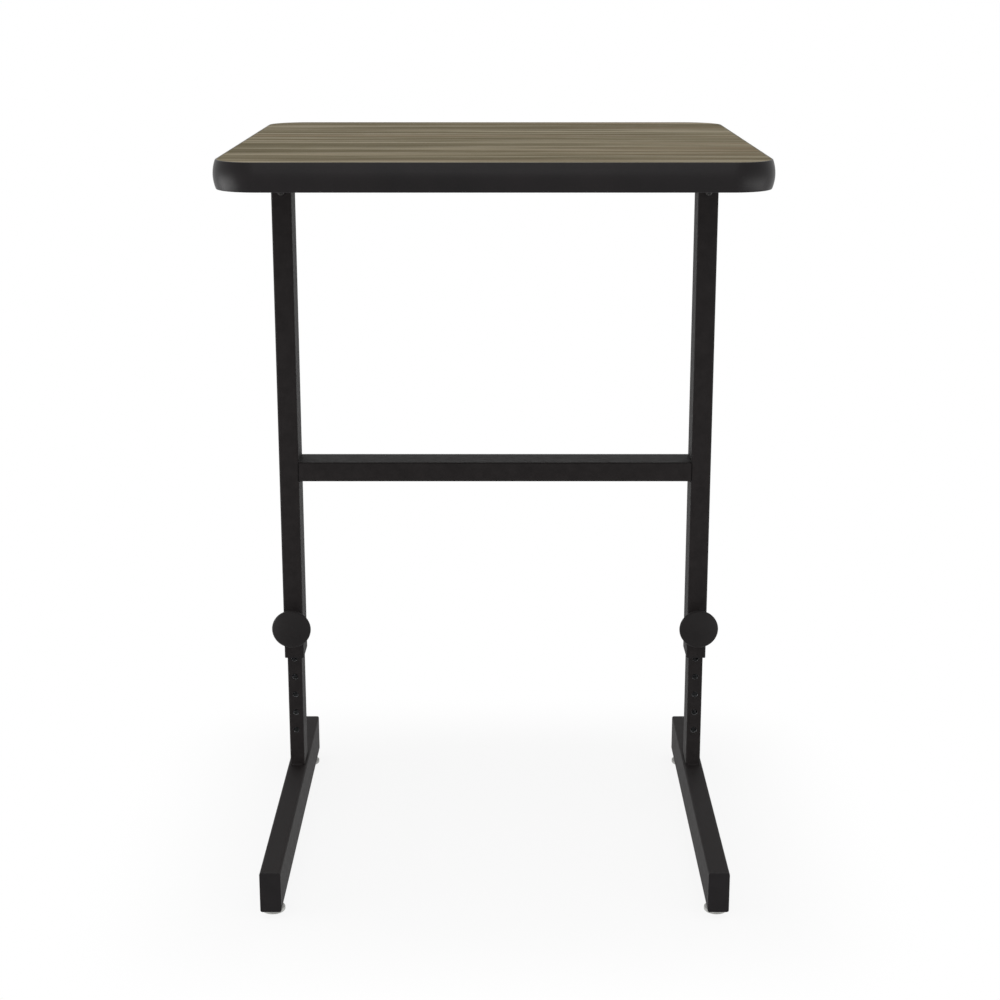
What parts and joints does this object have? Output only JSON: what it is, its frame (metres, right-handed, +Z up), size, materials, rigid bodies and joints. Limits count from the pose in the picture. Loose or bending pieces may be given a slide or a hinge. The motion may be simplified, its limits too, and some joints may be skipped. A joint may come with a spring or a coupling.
{
  "type": "standing desk",
  "caption": "Standing desk with a square laminate top on a tube frame that slides on two inner legs, is held at a height by sprung pull pins with round knobs, and stands on levelling glides.",
  "frame": {"origin": "on the floor under the middle of the top", "axes": "+X to the right of a person at the desk, +Y away from that person, +Z up"},
  "size_m": [0.6096, 0.6096, 0.9032],
  "materials": {
    "laminate": "matte woodgrain laminate",
    "board": "raw particle board",
    "backer": "plain backing sheet",
    "moulding": "satin black moulding",
    "black_steel": "black powder coat",
    "black_screw": "blackened steel",
    "zinc_steel": "bright zinc plate",
    "knob": "satin black moulding",
    "nylon": "black nylon",
    "glide": "pale grey nylon"
  },
  "bodies": {
    "left_base": {"left_inner_leg": "black_steel", "left_guide_cap": "nylon", "left_foot": "black_steel", "left_leg_welds": "black_steel", "left_glide_nuts": "zinc_steel", "left_front_end_cap": "nylon", "left_rear_end_cap": "nylon"},
    "frame": {"top_core": "board", "top_laminate": "laminate", "top_backer": "backer", "edge_moulding": "moulding", "top_screws": "zinc_steel", "plug_screws": "black_screw", "crossbar": "black_steel", "crossbar_welds": "black_steel", "barrel_welds": "black_steel", "left_top_plate": "black_steel", "left_plug": "black_steel", "left_upright": "black_steel", "left_bush": "nylon", "left_barrel": "black_steel", "left_barrel_cap": "zinc_steel", "left_spring": "zinc_steel", "right_top_plate": "black_steel", "right_plug": "black_steel", "right_upright": "black_steel", "right_bush": "nylon", "right_barrel": "black_steel", "right_barrel_cap": "zinc_steel", "right_spring": "zinc_steel"},
    "right_base": {"right_inner_leg": "black_steel", "right_guide_cap": "nylon", "right_foot": "black_steel", "right_leg_welds": "black_steel", "right_glide_nuts": "zinc_steel", "right_front_end_cap": "nylon", "right_rear_end_cap": "nylon"},
    "left_pull_pin": {"left_pin": "zinc_steel", "left_knob": "knob"},
    "left_front_glide_foot": {"left_front_glide_pad": "glide"},
    "left_front_glide_screw": {"left_front_glide_stem": "zinc_steel"},
    "left_rear_glide_foot": {"left_rear_glide_pad": "glide"},
    "left_rear_glide_screw": {"left_rear_glide_stem": "zinc_steel"},
    "right_pull_pin": {"right_pin": "zinc_steel", "right_knob": "knob"},
    "right_front_glide_foot": {"right_front_glide_pad": "glide"},
    "right_front_glide_screw": {"right_front_glide_stem": "zinc_steel"},
    "right_rear_glide_foot": {"right_rear_glide_pad": "glide"},
    "right_rear_glide_screw": {"right_rear_glide_stem": "zinc_steel"}
  },
  "joints": [
    {"name": "height_slide", "type": "slide", "parent": "left_base", "child": "frame", "axis": [0, 0, 1], "range_m": [-0.1524, 0.254]},
    {"name": "right_leg_slide", "type": "slide", "parent": "frame", "child": "right_base", "axis": [0, 0, 1], "range_m": [-0.254, 0.1524]},
    {"name": "left_pin_pull", "type": "slide", "parent": "frame", "child": "left_pull_pin", "axis": [0, -1, 0], "range_m": [-0.0048, 0.0035], "stiffness_N_per_m": 500, "springref_m": -0.009, "deforming": ["left_spring"]},
    {"name": "left_front_glide_lift", "type": "slide", "parent": "left_base", "child": "left_front_glide_foot", "axis": [0, 0, 1], "range_m": [-0.008, 0.002]},
    {"name": "left_front_glide_turn", "type": "hinge", "parent": "left_front_glide_foot", "child": "left_front_glide_screw", "pos_m": [-0.2683, -0.2302, 0], "axis": [0, 0, 1], "range_deg": [-2394, 666]},
    {"name": "left_rear_glide_lift", "type": "slide", "parent": "left_base", "child": "left_rear_glide_foot", "axis": [0, 0, 1], "range_m": [-0.008, 0.002]},
    {"name": "left_rear_glide_turn", "type": "hinge", "parent": "left_rear_glide_foot", "child": "left_rear_glide_screw", "pos_m": [-0.2683, 0.2302, 0], "axis": [0, 0, 1], "range_deg": [-2394, 666]},
    {"name": "right_pin_pull", "type": "slide", "parent": "frame", "child": "right_pull_pin", "axis": [0, -1, 0], "range_m": [-0.0048, 0.0035], "stiffness_N_per_m": 500, "springref_m": -0.009, "deforming": ["right_spring"]},
    {"name": "right_front_glide_lift", "type": "slide", "parent": "right_base", "child": "right_front_glide_foot", "axis": [0, 0, 1], "range_m": [-0.008, 0.002]},
    {"name": "right_front_glide_turn", "type": "hinge", "parent": "right_front_glide_foot", "child": "right_front_glide_screw", "pos_m": [0.2683, -0.2302, 0], "axis": [0, 0, 1], "range_deg": [-2394, 666]},
    {"name": "right_rear_glide_lift", "type": "slide", "parent": "right_base", "child": "right_rear_glide_foot", "axis": [0, 0, 1], "range_m": [-0.008, 0.002]},
    {"name": "right_rear_glide_turn", "type": "hinge", "parent": "right_rear_glide_foot", "child": "right_rear_glide_screw", "pos_m": [0.2683, 0.2302, 0], "axis": [0, 0, 1], "range_deg": [-2394, 666]}
  ],
  "couplings": [
    {"joint": "right_leg_slide", "follows": "height_slide", "ratio": -1},
    {"joint": "left_front_glide_turn", "follows": "left_front_glide_lift", "rad_per_m": 5026.5},
    {"joint": "left_rear_glide_turn", "follows": "left_rear_glide_lift", "rad_per_m": 5026.5},
    {"joint": "right_front_glide_turn", "follows": "right_front_glide_lift", "rad_per_m": 5026.5},
    {"joint": "right_rear_glide_turn", "follows": "right_rear_glide_lift", "rad_per_m": 5026.5}
  ]
}
